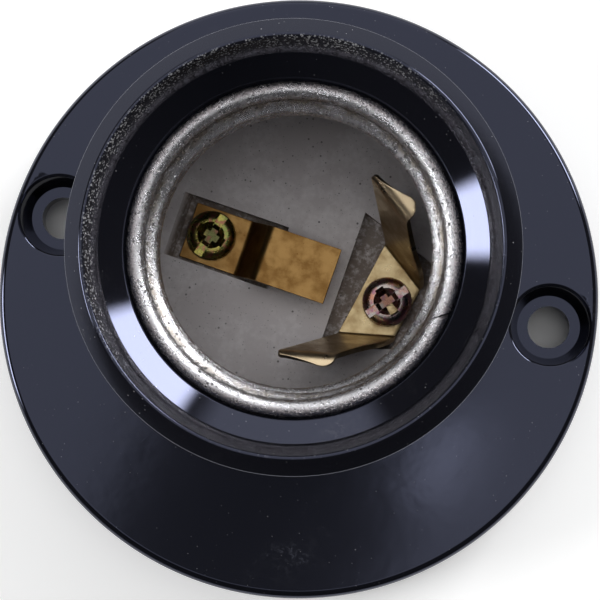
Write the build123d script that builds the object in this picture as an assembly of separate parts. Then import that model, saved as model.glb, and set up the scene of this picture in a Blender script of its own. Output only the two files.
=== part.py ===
from build123d import *
import os
from math import atan2, cos, degrees, hypot, pi, radians, sin, tan

# A wall lamp holder for a 27 mm screw cap, in millimetres.
# Z runs out of the wall from the flange's back face, and X runs along the line of the fixing holes.

# Flange
flange_d = 59.6
flange_t = 8.0
flange_edge = 0.5
hole_inset = 4.8
hole_d = 4.2
counterbore_d = 7.8
counterbore_floor_d = 6.3
counterbore_depth = 4.5
rear_relief_depth = 4.6
rim_wall = 2.8
boss_wall = 3.2
cavity_wall = 2.4

# Clearances
running_gap = 0.3
fit_gap = 0.15
contact_gap = 0.4
screw_gap = 0.25
tapped_gap = 0.05
sleeve_gap = 0.9
collar_thread_room = 0.9

# Screw shell: thin sheet with the lamp's round thread rolled in it
thread_pitch = 3.629
thread_crest_d = 24.5
thread_depth = 1.15
thread_turns = 2
thread_steps = 10
sheet_t = 0.4
rim_roll_w = 1.65
rim_roll_h = 0.85
rim_proud = 1.5
rim_steps = 8

# Neck, on the socket's axis
socket_y = 2.8
neck_wall = 1.75
neck_top_z = 30.0
ledge_z = 16.0
ledge_w = 2.35
key_w = 3.0
key_height = 1.0
mouth_chamfer = 0.4

# Collar
skirt_wall = 1.95
band_w = 2.1
lip_slope_w = 1.2
lip_z = 53.0
lip_round = 3.6
lip_drop = 3.0
band_drop = 1.5
seat_depth = 1.7
sleeve_wall = 0.7
skirt_roof = 2.0
foot_chamfer = 0.5

# Ceramic insert
insert_t = 10.0
insert_turn_deg = -6.4
slot_depth = 2.0
groove_w = 6.2
groove_margin = 1.35
groove_past_bend = 3.15
groove_end_slope = 0.75
pocket_w = 13.6
pocket_inner_reach = 4.66
pocket_outer_reach = 4.0
pocket_taper_deg = 18.5
barrier_w = 1.6
barrier_h = 4.0
barrier_end_gap = 2.2
insert_chamfer = 0.4

# Contacts, in the insert's own directions: U along the groove, V across it
contact_t = 0.5
contact_row_v = -0.4
leaf_w = 5.4
leaf_tail = 2.3
leaf_run = 3.6
leaf_rise_run = 1.7
leaf_rise = 4.2
leaf_tip = 3.45
leaf_tip_lift = 0.3
leaf_bend_r = 0.75
centre_screw_inset = 4.4
side_screw_inset = 4.2
side_turn_deg = -9.0
side_row_v = -0.9
plate_inner = -2.65
plate_outer = 2.3
plate_w = 9.4
plate_taper_deg = 24.0
wing_lean_deg = 12.3
wing_h = 12.0
wing_slant = 5.3
wing_tip_w = 5.2
wing_hip_x = 4.4
wing_hip_h = 3.4
wing_lip_start = 0.5
wing_lip_w = 1.35
wing_lip_corner = 0.3
wing_lip_flare_deg = 45.0

# Fasteners
contact_head_d = 4.7
contact_head_h = 1.9
contact_shank_d = 2.5
centre_slot_deg = 74.0
side_slot_deg = 52.0
terminal_head_d = 5.0
terminal_head_h = 1.8
terminal_shank_d = 2.9
terminal_shank_l = 6.2
centre_terminal_slot_deg = 20.0
side_terminal_slot_deg = 75.0
head_edge = 0.55
slot_w = 0.85
slot_cut = 0.95
cross_w = 0.75
cross_reach = 0.62
cross_cut = 1.25
terminal_plate_t = 2.0
terminal_plate_w = 5.6
centre_terminal_inset = 4.4
centre_terminal_deg = 142.5
side_terminal_inset = 3.1
side_terminal_deg = -43.0
washer_w = 5.4
washer_t = 0.9
washer_turn_deg = 45.0

# Diameters worked out from the lamp's thread outward
thread_root_d = thread_crest_d + 2 * thread_depth
throat_d = thread_root_d + 2 * (sheet_t + fit_gap)
sleeve_d = throat_d + 2 * sleeve_wall
neck_bore_d = sleeve_d + 2 * sleeve_gap
neck_core_d = neck_bore_d + 2 * neck_wall
skirt_bore_d = neck_core_d + 2 * collar_thread_room
collar_d = skirt_bore_d + 2 * skirt_wall
cavity_d = neck_bore_d - 2 * ledge_w
insert_d = neck_bore_d - 2 * fit_gap
band_inner_d = thread_root_d + 2 * (rim_roll_w + fit_gap)
lip_inner_d = band_inner_d + 2 * band_w
lip_crest_d = lip_inner_d + 2 * lip_slope_w

# Heights
insert_top = ledge_z + insert_t
slot_floor = insert_top - slot_depth
plate_top = slot_floor + contact_t
collar_foot = flange_t + running_gap
band_outer_z = lip_z - lip_drop
band_inner_z = band_outer_z - band_drop
seat_z = band_inner_z - seat_depth
terminal_face = ledge_z - terminal_plate_t

# Places across the insert
centre_screw_u = centre_screw_inset - cavity_d / 2
side_screw_u = cavity_d / 2 - side_screw_inset
centre_screw_at = (centre_screw_u, contact_row_v)
side_screw_at = (side_screw_u, side_row_v)
leaf_start = centre_screw_u - leaf_tail
leaf_bend = centre_screw_u + leaf_run
groove_start = leaf_start - groove_margin
groove_end = leaf_bend + groove_past_bend
pocket_start = side_screw_u - pocket_inner_reach
pocket_end = side_screw_u + pocket_outer_reach
hole_x = flange_d / 2 - hole_inset
socket = Pos(0, socket_y, 0)
insert_frame = socket * Rot(0, 0, insert_turn_deg)


def terminal_place(inset, turn_deg):
    """A terminal screw's place across the insert, given its distance from the cavity's wall."""
    reach = cavity_d / 2 - inset
    return reach * cos(radians(turn_deg)), reach * sin(radians(turn_deg))


centre_terminal_at = terminal_place(centre_terminal_inset, centre_terminal_deg)
side_terminal_at = terminal_place(side_terminal_inset, side_terminal_deg)


def post(diameter, bottom, top):
    """A round bar between two heights."""
    bar = Cylinder(diameter / 2, top - bottom, align=(Align.CENTER, Align.CENTER, Align.MIN))
    return Pos(0, 0, bottom) * bar


def block(u0, u1, v0, v1, z0, z1):
    """A box given by its limits."""
    return Pos(u0, v0, z0) * Box(u1 - u0, v1 - v0, z1 - z0, align=(Align.MIN, Align.MIN, Align.MIN))


def base_body():
    flange = chamfer(post(flange_d, 0, flange_t).edges().group_by(Axis.Z)[-1], flange_edge)
    relief = post(flange_d - 2 * rim_wall, 0, rear_relief_depth)
    relief -= socket * post(cavity_d + 2 * cavity_wall, 0, rear_relief_depth)
    hole_places = [Pos(side * hole_x, socket_y, 0) for side in (-1, 1)]
    for place in hole_places:
        relief -= place * post(hole_d + 2 * boss_wall, 0, rear_relief_depth)
    body = flange - relief + socket * post(neck_core_d, 0, neck_top_z)
    body -= socket * (post(neck_bore_d, ledge_z, neck_top_z) + post(cavity_d, 0, ledge_z))
    body = chamfer(body.edges().group_by(Axis.Z)[-1], mouth_chamfer)
    counterbore = Pos(0, 0, flange_t - counterbore_depth / 2) * Cone(
        counterbore_floor_d / 2, counterbore_d / 2, counterbore_depth
    )
    for place in hole_places:
        body -= place * (counterbore + post(hole_d, 0, flange_t))
    key_inner, key_outer = neck_bore_d / 2 - key_height, (neck_bore_d + neck_wall) / 2
    key = block(-key_w / 2, key_w / 2, key_inner, key_outer, ledge_z, insert_top)
    return body + insert_frame * key


def quarter(centre, radius_x, radius_y, start_deg):
    """A quarter of an ellipse."""
    return EllipticalCenterArc(centre, radius_x, radius_y, start_angle=start_deg, arc_size=90)


def collar():
    crest_r, inner_r = lip_crest_d / 2, lip_inner_d / 2
    outer_r, bore_r, throat_r = collar_d / 2, skirt_bore_d / 2, throat_d / 2
    roof_z = neck_top_z + skirt_roof
    shoulder_z = lip_z - lip_round
    corners = [
        (inner_r, band_outer_z),
        (band_inner_d / 2, band_inner_z),
        (band_inner_d / 2, seat_z),
        (throat_r, seat_z),
        (throat_r, insert_top + running_gap),
        (sleeve_d / 2, insert_top + running_gap),
        (sleeve_d / 2, roof_z),
        (bore_r, roof_z),
        (bore_r, collar_foot),
        (outer_r - foot_chamfer, collar_foot),
        (outer_r, collar_foot + foot_chamfer),
        (outer_r, shoulder_z),
    ]
    with BuildPart() as part:
        with BuildSketch(Plane.XZ):
            with BuildLine():
                Polyline(*corners)
                quarter((crest_r, shoulder_z), outer_r - crest_r, lip_round, 0)
                quarter((crest_r, band_outer_z), crest_r - inner_r, lip_drop, 90)
            make_face()
        revolve(axis=Axis.Z)
    return socket * part.part


def shell_skin(shift):
    """One side of the shell's sheet: the rim's wall, its arch and the thread's wave down to the foot."""
    root_r = thread_root_d / 2 + shift
    wall_r = band_inner_d / 2 - fit_gap - shift
    mid_r, roll_r = (wall_r + root_r) / 2, (wall_r - root_r) / 2
    arch_z = seat_z + rim_proud - rim_roll_h
    skin = [(wall_r, seat_z)]
    for step in range(rim_steps + 1):
        turn = pi * step / rim_steps
        skin.append((mid_r + roll_r * cos(turn), arch_z + (rim_roll_h - shift) * sin(turn)))
    for step in range(1, thread_turns * thread_steps + 1):
        wave = (1 - cos(2 * pi * step / thread_steps)) / 2
        skin.append((root_r - thread_depth * wave, arch_z - thread_pitch * step / thread_steps))
    return skin


def screw_shell():
    """Rolled rim over the collar's seat, then the rings of the thread."""
    section = make_face(Polyline(*shell_skin(0), *reversed(shell_skin(sheet_t)), close=True))
    return socket * revolve(Plane.XZ * section, axis=Axis.Z)


def slot_pocket():
    """The side contact's pocket in the insert, which narrows outward."""
    half, narrow = pocket_w / 2, (pocket_end - pocket_start) * tan(radians(pocket_taper_deg))
    corners = [
        (pocket_start, contact_row_v - half),
        (pocket_end, contact_row_v - half + narrow),
        (pocket_end, contact_row_v + half - narrow),
        (pocket_start, contact_row_v + half),
    ]
    return Pos(0, 0, slot_floor) * extrude(make_face(Polyline(*corners, close=True)), slot_depth)


def groove():
    """The centre contact's groove, with a sloping outer end."""
    corners = [
        (groove_start, insert_top),
        (groove_start + groove_end_slope, slot_floor),
        (groove_end, slot_floor),
        (groove_end, insert_top),
    ]
    profile = Plane.XZ * make_face(Polyline(*corners, close=True))
    return Pos(0, contact_row_v + groove_w / 2, 0) * extrude(profile, groove_w)


def contact_insert():
    disc = chamfer(post(insert_d, ledge_z, insert_top).edges().group_by(Axis.Z)[-1], insert_chamfer)
    reach = cavity_d / 2 - barrier_end_gap
    disc += block(-barrier_w / 2, barrier_w / 2, -reach, reach, ledge_z - barrier_h, ledge_z)
    disc -= slot_pocket() + groove()
    notch = key_w / 2 + running_gap
    disc -= block(-notch, notch, neck_bore_d / 2 - key_height - running_gap, insert_d, ledge_z, insert_top)
    for place in (centre_screw_at, side_screw_at):
        disc -= Pos(*place, 0) * post(contact_shank_d + 2 * screw_gap, ledge_z, insert_top)
    blind_top = terminal_face - washer_t + terminal_shank_l + contact_gap
    for place in (centre_terminal_at, side_terminal_at):
        disc -= Pos(*place, 0) * post(terminal_shank_d + 2 * screw_gap, ledge_z, blind_top)
    return insert_frame * disc


def centre_contact():
    mid = slot_floor + contact_t / 2
    path = FilletPolyline(
        (leaf_start, mid),
        (leaf_bend, mid),
        (leaf_bend + leaf_rise_run, mid + leaf_rise),
        (leaf_tip, mid + leaf_rise + leaf_tip_lift),
        radius=leaf_bend_r,
    )
    strip = extrude(Plane.XZ * trace(path, contact_t), leaf_w / 2, both=True)
    strip = Pos(0, contact_row_v, 0) * strip
    hole = post(contact_shank_d + 2 * screw_gap, slot_floor, plate_top)
    return insert_frame * (strip - Pos(*centre_screw_at, 0) * hole)


def wing():
    """One raised wing of the side contact, outside the plate's positive edge, with its tip flared outward."""
    run = (plate_outer - plate_inner) / cos(radians(plate_taper_deg))
    lean = radians(wing_lean_deg)
    foot = contact_t * (1 - sin(lean)) / cos(lean)
    near, far = -wing_slant, wing_tip_w - wing_slant
    hip, near_tip, far_tip = (wing_hip_x, wing_hip_h), (near, wing_h), (far, wing_h)
    blade = Polyline((0, -foot), (run, -foot), (run, 0), hip, far_tip, near_tip, (0, 0), close=True)
    lip_end = (far - wing_lip_corner, wing_lip_w)
    lip = Polyline((near, 0), (far, 0), lip_end, (near, wing_lip_start), close=True)
    lip = Pos(0, wing_h, 0) * Rot(-wing_lip_flare_deg, 0, 0) * extrude(make_face(lip), -contact_t)
    corner = Pos(plate_inner, plate_w / 2, plate_top)
    stand = Rot(0, 0, -plate_taper_deg) * Rot(90 - wing_lean_deg, 0, 0)
    return corner * stand * (extrude(make_face(blade), -contact_t) + lip)


def side_contact():
    narrow = (plate_outer - plate_inner) * tan(radians(plate_taper_deg))
    half = plate_w / 2
    outer_half = half - narrow
    corners = [
        (plate_inner, -half),
        (plate_outer, -outer_half),
        (plate_outer, outer_half),
        (plate_inner, half),
    ]
    plate = Pos(0, 0, slot_floor) * extrude(make_face(Polyline(*corners, close=True)), contact_t)
    raised = wing()
    contact = plate + raised + mirror(raised, about=Plane.XZ)
    contact -= post(contact_shank_d + 2 * screw_gap, slot_floor, plate_top)
    return insert_frame * Pos(*side_screw_at, 0) * Rot(0, 0, side_turn_deg) * contact


def pan_screw(head_d, head_h, shank_d, shank_l, slot_turn):
    """A pan screw that stands on Z 0, slotted right across and with a cross in the middle."""
    head = chamfer(post(head_d, 0, head_h).edges().group_by(Axis.Z)[-1], head_edge)
    reach = head_d * cross_reach
    cut = block(-head_d, head_d, -slot_w / 2, slot_w / 2, head_h - slot_cut, head_h)
    cut += block(-cross_w / 2, cross_w / 2, -reach / 2, reach / 2, head_h - cross_cut, head_h)
    cut += block(-reach / 2, reach / 2, -cross_w / 2, cross_w / 2, head_h - cross_cut, head_h)
    return Rot(0, 0, slot_turn) * (head - cut) + post(shank_d, -shank_l, 0)


def contact_screw(place, slot_turn):
    shank_l = plate_top - terminal_face
    screw = pan_screw(contact_head_d, contact_head_h, contact_shank_d, shank_l, slot_turn)
    return insert_frame * Pos(*place, plate_top) * screw


def terminal_plate(contact_at, terminal_at):
    """A round-ended threaded plate under the insert, from a contact screw to its terminal screw."""
    across, along = terminal_at[0] - contact_at[0], terminal_at[1] - contact_at[1]
    middle = Pos(contact_at[0] + across / 2, contact_at[1] + along / 2)
    slot = SlotCenterToCenter(hypot(across, along), terminal_plate_w)
    outline = middle * Rot(0, 0, degrees(atan2(along, across))) * slot
    plate = Pos(0, 0, terminal_face) * extrude(outline, terminal_plate_t)
    plate -= Pos(*contact_at, 0) * post(contact_shank_d + 2 * tapped_gap, terminal_face, ledge_z)
    plate -= Pos(*terminal_at, 0) * post(terminal_shank_d + 2 * tapped_gap, terminal_face, ledge_z)
    return insert_frame * plate


def terminal_screw(place, slot_turn):
    screw = pan_screw(terminal_head_d, terminal_head_h, terminal_shank_d, terminal_shank_l, slot_turn)
    return insert_frame * Pos(*place, terminal_face - washer_t) * Rot(180, 0, 0) * screw


def clamp_washer(place):
    half = washer_w / 2
    washer = block(-half, half, -half, half, terminal_face - washer_t, terminal_face)
    washer -= post(terminal_shank_d + 2 * screw_gap, terminal_face - washer_t, terminal_face)
    return insert_frame * Pos(*place, 0) * Rot(0, 0, washer_turn_deg) * washer


parts = {
    "base_body": base_body(),
    "collar": collar(),
    "screw_shell": screw_shell(),
    "contact_insert": contact_insert(),
    "centre_contact": centre_contact(),
    "centre_contact_screw": contact_screw(centre_screw_at, centre_slot_deg),
    "side_contact": side_contact(),
    "side_contact_screw": contact_screw(side_screw_at, side_slot_deg),
    "centre_terminal_plate": terminal_plate(centre_screw_at, centre_terminal_at),
    "side_terminal_plate": terminal_plate(side_screw_at, side_terminal_at),
    "centre_terminal_screw": terminal_screw(centre_terminal_at, centre_terminal_slot_deg),
    "side_terminal_screw": terminal_screw(side_terminal_at, side_terminal_slot_deg),
    "centre_clamp_washer": clamp_washer(centre_terminal_at),
    "side_clamp_washer": clamp_washer(side_terminal_at),
}

os.makedirs("parts", exist_ok=True)
for name, solid in parts.items():
    export_step(solid, f"parts/{name}.step")
    print(name, round(solid.volume, 1), "mm3")
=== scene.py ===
import math

import bmesh
import bpy
from mathutils import Matrix, Vector


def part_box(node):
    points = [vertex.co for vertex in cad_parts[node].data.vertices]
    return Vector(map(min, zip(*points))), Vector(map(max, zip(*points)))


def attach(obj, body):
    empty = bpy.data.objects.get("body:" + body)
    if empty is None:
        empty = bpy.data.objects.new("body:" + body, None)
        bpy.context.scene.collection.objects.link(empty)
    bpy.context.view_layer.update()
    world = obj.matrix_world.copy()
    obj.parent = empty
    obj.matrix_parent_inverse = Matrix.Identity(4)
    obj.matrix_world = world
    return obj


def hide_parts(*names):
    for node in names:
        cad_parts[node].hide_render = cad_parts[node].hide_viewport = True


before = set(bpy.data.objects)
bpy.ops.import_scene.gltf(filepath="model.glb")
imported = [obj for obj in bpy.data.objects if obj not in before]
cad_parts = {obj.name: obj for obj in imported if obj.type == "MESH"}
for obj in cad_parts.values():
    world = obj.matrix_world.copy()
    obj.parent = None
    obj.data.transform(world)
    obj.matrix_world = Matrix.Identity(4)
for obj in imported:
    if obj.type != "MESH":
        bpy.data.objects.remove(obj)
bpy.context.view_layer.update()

mm = 0.001
print("frame loaded:", len(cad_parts), "solids")

# Places read from the frame, in millimetres
collarLow, collarHigh = (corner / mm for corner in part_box("collar"))
baseLow, baseHigh = (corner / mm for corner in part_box("base_body"))
insertLow, insertHigh = (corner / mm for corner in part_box("contact_insert"))
socketY = (collarLow.y + collarHigh.y) / 2
collarR = (collarHigh.x - collarLow.x) / 2
flangeR = (baseHigh.x - baseLow.x) / 2
lipZ = collarHigh.z
neckTopZ = baseHigh.z
insertTop = insertHigh.z
rimTopZ = (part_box("screw_shell")[1] / mm).z
socketPlace = Matrix.Translation((0, socketY, 0))
insertPlace = socketPlace @ Matrix.Rotation(math.radians(-6.4), 4, "Z")


# Shapes: every helper works in millimetres and turns into metres at the end

def smooth(share):
    share = min(max(share, 0.0), 1.0)
    return share * share * (3 - 2 * share)


def arc(centreR, centreZ, radiusR, radiusZ, start, end, steps=10):
    angles = [math.radians(start + (end - start) * k / steps) for k in range(steps + 1)]
    return [(centreR + radiusR * math.cos(a), centreZ + radiusZ * math.sin(a)) for a in angles]


def rounded(corners, radius, steps=6):
    # a path through its corners, each inner corner turned with an arc
    path = [Vector(corners[0])]
    for before, here, after in zip(corners, corners[1:], corners[2:]):
        here = Vector(here)
        towards, away = (Vector(before) - here).normalized(), (Vector(after) - here).normalized()
        half = towards.angle(away) / 2
        reach = radius / math.tan(half)
        centre = here + (towards + away).normalized() * radius / math.sin(half)
        start, end = here + towards * reach - centre, here + away * reach - centre
        for k in range(steps + 1):
            path.append(centre + start.slerp(end, k / steps).normalized() * radius)
    path.append(Vector(corners[-1]))
    return path


def meshFrom(name, points, faces, place=Matrix.Identity(4), sharpDeg=32):
    mesh = bpy.data.meshes.new(name)
    mesh.from_pydata([place @ Vector(p) * mm for p in points], [], faces)
    work = bmesh.new()
    work.from_mesh(mesh)
    bmesh.ops.remove_doubles(work, verts=work.verts, dist=1e-7)
    bmesh.ops.recalc_face_normals(work, faces=work.faces)
    work.to_mesh(mesh)
    work.free()
    smoothMesh(mesh, sharpDeg)
    return mesh


def smoothMesh(mesh, sharpDeg):
    mesh.shade_smooth()
    mesh.set_sharp_from_angle(angle=math.radians(sharpDeg))


def lathe(name, profile, place=Matrix.Identity(4), segments=192, closed=True, ridge=None, sharpDeg=32):
    # the profile is (radius, height) pairs; ridge adds to the radius at an angle and height
    points, faces = [], []
    rows = len(profile)
    for step in range(segments):
        turn = 2 * math.pi * step / segments
        for row, (r, z) in enumerate(profile):
            r += ridge(turn, z, row) if ridge else 0
            points.append((r * math.cos(turn), r * math.sin(turn), z))
    for step in range(segments):
        here, there = step * rows, (step + 1) % segments * rows
        for row in range(rows if closed else rows - 1):
            after = (row + 1) % rows
            faces.append((here + row, there + row, there + after, here + after))
    return meshFrom(name, points, faces, place, sharpDeg)


def solidPost(name, radius, bottom, top, place=Matrix.Identity(4), segments=96):
    outline = [(0, bottom), (radius, bottom), (radius, top), (0, top)]
    return lathe(name, outline, place, segments, closed=False)


def frustum(name, lower, upper, bottom, top, place=Matrix.Identity(4)):
    count = len(lower)
    points = [(x, y, bottom) for x, y in lower] + [(x, y, top) for x, y in upper]
    faces = [tuple(range(count)), tuple(range(count, 2 * count))]
    faces += [(k, (k + 1) % count, count + (k + 1) % count, count + k) for k in range(count)]
    return meshFrom(name, points, faces, place)


def box(name, x0, x1, y0, y1, z0, z1, place=Matrix.Identity(4)):
    corners = [(x0, y0), (x1, y0), (x1, y1), (x0, y1)]
    return frustum(name, corners, corners, z0, z1, place)


def thing(mesh):
    made = bpy.data.objects.new(mesh.name, mesh)
    bpy.context.scene.collection.objects.link(made)
    return made


def settle(piece):
    # the modifiers' result becomes the piece's own mesh
    graph = bpy.context.evaluated_depsgraph_get()
    graph.update()
    mesh = bpy.data.meshes.new_from_object(piece.evaluated_get(graph))
    piece.modifiers.clear()
    piece.data = mesh
    return piece


def carve(piece, toolMesh, operation):
    tool = thing(toolMesh)
    cut = piece.modifiers.new("cut", "BOOLEAN")
    cut.solver = "EXACT"
    cut.operation = operation
    cut.object = tool
    settle(piece)
    bpy.data.objects.remove(tool)
    return piece


def evenShade(piece, sharpDeg):
    # large faces keep their own normals, and the small faces beside them bend to meet these
    smoothMesh(piece.data, sharpDeg)
    weighted = piece.modifiers.new("evenShade", "WEIGHTED_NORMAL")
    weighted.mode = "FACE_AREA"
    weighted.weight = 90
    weighted.keep_sharp = True
    return settle(piece)


def softenEdges(piece, width, steps=2, overDeg=30):
    bevel = piece.modifiers.new("soften", "BEVEL")
    bevel.width = width * mm
    bevel.segments = steps
    bevel.limit_method = "ANGLE"
    bevel.angle_limit = math.radians(overDeg)
    bevel.miter_outer = "MITER_ARC"
    settle(piece)
    return evenShade(piece, 40)


def handOver(piece, body, material, slot, *nodes):
    piece.data.materials.clear()
    piece.data.materials.append(material)
    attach(piece, body)
    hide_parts(*nodes)


# Shader helpers

def put(tree, kind, inputs=None, **settings):
    made = tree.nodes.new(kind)
    for key, value in settings.items():
        setattr(made, key, value)
    for key, value in (inputs or {}).items():
        if isinstance(value, bpy.types.NodeSocket):
            tree.links.new(value, made.inputs[key])
        else:
            made.inputs[key].default_value = value
    return made


def math2(tree, operation, a, b=0.0, clamp=False):
    return put(tree, "ShaderNodeMath", {0: a, 1: b}, operation=operation, use_clamp=clamp).outputs[0]


def ramp(tree, value, low, high, outLow=0.0, outHigh=1.0):
    inputs = {"Value": value, "From Min": low, "From Max": high, "To Min": outLow, "To Max": outHigh}
    return put(tree, "ShaderNodeMapRange", inputs, interpolation_type="SMOOTHSTEP").outputs["Result"]


def blendColour(tree, share, a, b):
    mixer = put(tree, "ShaderNodeMix", data_type="RGBA")
    for socket, value in ((mixer.inputs[0], share), (mixer.inputs[6], a), (mixer.inputs[7], b)):
        if isinstance(value, bpy.types.NodeSocket):
            tree.links.new(value, socket)
        else:
            socket.default_value = value if isinstance(value, float) else (*value, 1.0)
    return mixer.outputs[2]


def noise(tree, vector, scale, detail=4.0, rough=0.6):
    inputs = {"Vector": vector, "Scale": scale, "Detail": detail, "Roughness": rough}
    return put(tree, "ShaderNodeTexNoise", inputs).outputs["Fac"]


def vector2(tree, operation, a, b=(0, 0, 0), result="Vector"):
    return put(tree, "ShaderNodeVectorMath", {0: a, 1: b}, operation=operation).outputs[result]


def millimetres(tree):
    # the piece's own coordinates, in millimetres
    coords = put(tree, "ShaderNodeTexCoord").outputs["Object"]
    return put(tree, "ShaderNodeVectorMath", {0: coords, 3: 1 / mm}, operation="SCALE").outputs[0]


def heightOf(tree, vector):
    return put(tree, "ShaderNodeSeparateXYZ", {0: vector}).outputs["Z"]


def offAxis(tree, vector):
    # the level line from the socket's axis to a point
    return vector2(tree, "MULTIPLY", vector2(tree, "SUBTRACT", vector, (0, socketY, 0)), (1, 1, 0))


def axisReach(tree, vector):
    return vector2(tree, "LENGTH", offAxis(tree, vector), result="Value")


def facingShare(tree, vector, azimuthDeg, fromCos, toCos):
    # how far a point lies round towards one side of the socket's axis
    side = (math.cos(math.radians(azimuthDeg)), math.sin(math.radians(azimuthDeg)), 0)
    unit = vector2(tree, "NORMALIZE", offAxis(tree, vector))
    return ramp(tree, vector2(tree, "DOT_PRODUCT", unit, side, "Value"), fromCos, toCos)


def raysTo(tree):
    # whether the camera looks straight here, and whether it does so by way of a polished or clear surface
    ray = put(tree, "ShaderNodeLightPath").outputs
    return ray["Is Camera Ray"], math2(tree, "MAXIMUM", ray["Is Glossy Ray"], ray["Is Transmission Ray"])


def newGroup(name, inputs, outputs):
    group = bpy.data.node_groups.new(name, "ShaderNodeTree")
    for label, kind, value in inputs:
        socket = group.interface.new_socket(label, in_out="INPUT", socket_type=kind)
        if value is not None:
            socket.default_value = value
    for label in outputs:
        group.interface.new_socket(label, in_out="OUTPUT", socket_type="NodeSocketFloat")
    return group, put(group, "NodeGroupInput").outputs, put(group, "NodeGroupOutput").inputs


vectorSocket, floatSocket = "NodeSocketVector", "NodeSocketFloat"


def buildSpecks():
    # round specks or pits of uneven size, one to a cell at most
    inputs = [("Vector", vectorSocket, None), ("Per mm", floatSocket, 1.0), ("Size", floatSocket, 0.3),
              ("Share", floatSocket, 0.5)]
    group, given, out = newGroup("specks", inputs, ["Mask"])
    cells = put(group, "ShaderNodeTexVoronoi", {"Vector": given["Vector"], "Scale": given["Per mm"]})
    chance = put(group, "ShaderNodeSeparateColor", {"Color": cells.outputs["Color"]}).outputs
    present = math2(group, "LESS_THAN", chance["Red"], given["Share"])
    size = math2(group, "MULTIPLY", math2(group, "ADD", chance["Green"], 0.25), given["Size"])
    share = math2(group, "DIVIDE", cells.outputs["Distance"], size)
    inside = math2(group, "SUBTRACT", 1.0, share, clamp=True)
    group.links.new(math2(group, "MULTIPLY", ramp(group, inside, 0.0, 0.5), present), out["Mask"])
    return group


def buildScratches():
    # long thin marks along one direction of a stretched noise
    inputs = [("Vector", vectorSocket, None), ("Stretch", vectorSocket, (8, 0.3, 8)),
              ("Turn", vectorSocket, (0, 0, 0)), ("Share", floatSocket, 0.3)]
    group, given, out = newGroup("scratches", inputs, ["Mask"])
    turned = put(group, "ShaderNodeVectorRotate", {"Vector": given["Vector"], "Rotation": given["Turn"]},
                 rotation_type="EULER_XYZ").outputs[0]
    lines = noise(group, vector2(group, "MULTIPLY", turned, given["Stretch"]), 1.0, 2.0, 0.5)
    breaks = noise(group, given["Vector"], 0.35, 2.0, 0.5)
    edge = math2(group, "SUBTRACT", 0.80, math2(group, "MULTIPLY", given["Share"], 0.25))
    fine = math2(group, "MULTIPLY", math2(group, "SUBTRACT", lines, edge), 14.0, clamp=True)
    group.links.new(math2(group, "MULTIPLY", fine, ramp(group, breaks, 0.42, 0.62)), out["Mask"])
    return group


def buildDust():
    # settled dust: cloudy film and loose grains
    inputs = [("Vector", vectorSocket, None), ("Cover", floatSocket, 0.3), ("Grain", floatSocket, 2.0)]
    group, given, out = newGroup("dust", inputs, ["Film", "Grains"])
    cloud = noise(group, given["Vector"], 0.11, 5.0, 0.62)
    reach = math2(group, "SUBTRACT", 0.72, math2(group, "MULTIPLY", given["Cover"], 0.35))
    film = math2(group, "MULTIPLY", math2(group, "SUBTRACT", cloud, reach), 4.0, clamp=True)
    rough = noise(group, given["Vector"], given["Grain"], 3.0, 0.7)
    group.links.new(math2(group, "MULTIPLY", film, ramp(group, rough, 0.4, 0.75)), out["Film"])
    grains = effect(group, "specks", Vector=given["Vector"], Per_mm=given["Grain"], Size=0.16,
                    Share=given["Cover"])
    group.links.new(grains["Mask"], out["Grains"])
    return group


def effect(tree, name, **inputs):
    values = {key.replace("_", " "): value for key, value in inputs.items()}
    return put(tree, "ShaderNodeGroup", values, node_tree=effects[name]).outputs


effects = {"specks": buildSpecks(), "scratches": buildScratches()}
effects["dust"] = buildDust()


def startMaterial(name):
    material = bpy.data.materials.new(name)
    material.use_nodes = True
    tree = material.node_tree
    return material, tree, tree.nodes["Principled BSDF"], millimetres(tree)


def connect(tree, shader, **sockets):
    for key, value in sockets.items():
        socket = shader.inputs[key.replace("_", " ")]
        if isinstance(value, bpy.types.NodeSocket):
            tree.links.new(value, socket)
        else:
            ready = isinstance(value, (int, float)) or len(value) == 4
            socket.default_value = value if ready else (*value, 1.0)


def bump(tree, height, depthMm, strength=1.0):
    inputs = {"Height": height, "Distance": depthMm * mm, "Strength": strength}
    return put(tree, "ShaderNodeBump", inputs).outputs["Normal"]


phenolicLook = {"black": (0.005, 0.005, 0.007), "dustColour": (0.42, 0.42, 0.43), "blueLightTint": (0.62, 0.675, 1.0),
                "ior": 1.62, "gloss": 0.07, "wornGloss": 0.30, "dustGrain": 2.3, "film": 0.10, "grains": 0.45,
                "scuffs": 0.05, "rippleMm": 0.03, "ripple": 0.10, "lipGloss": 0.24, "lipDust": 1.0,
                "lipGrainsPerMm": 4.8, "lipGrainSize": 0.60, "lipFilm": 0.03, "dustSideDeg": 138.0,
                "boreGloss": 0.8}


def lipDust(tree, where):
    # where the collar's lip is, and the white grains that settled on one side of it
    look, crest = phenolicLook, collarSizes["crestR"]
    inside = ramp(tree, axisReach(tree, where), crest + 0.25, crest - 0.1)
    onLip = math2(tree, "MULTIPLY", inside, ramp(tree, heightOf(tree, where), lipZ - 2.6, lipZ - 1.2))
    patchy = noise(tree, where, 0.5, 3.0, 0.6)
    dense = math2(tree, "MULTIPLY", facingShare(tree, where, look["dustSideDeg"], -0.4, 0.7), patchy)
    dense = ramp(tree, dense, 0.05, 0.55, 0.10, 0.85)
    grains = effect(tree, "specks", Vector=where, Per_mm=look["lipGrainsPerMm"], Size=look["lipGrainSize"],
                    Share=dense)["Mask"]
    film = ramp(tree, noise(tree, where, 2.2, 3.0, 0.7), 0.45, 0.75)
    settled = math2(tree, "ADD", grains, math2(tree, "MULTIPLY", film, look["lipFilm"]), clamp=True)
    settled = math2(tree, "MULTIPLY", math2(tree, "MULTIPLY", onLip, settled), dense)
    return onLip, math2(tree, "MULTIPLY", settled, look["lipDust"])


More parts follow.
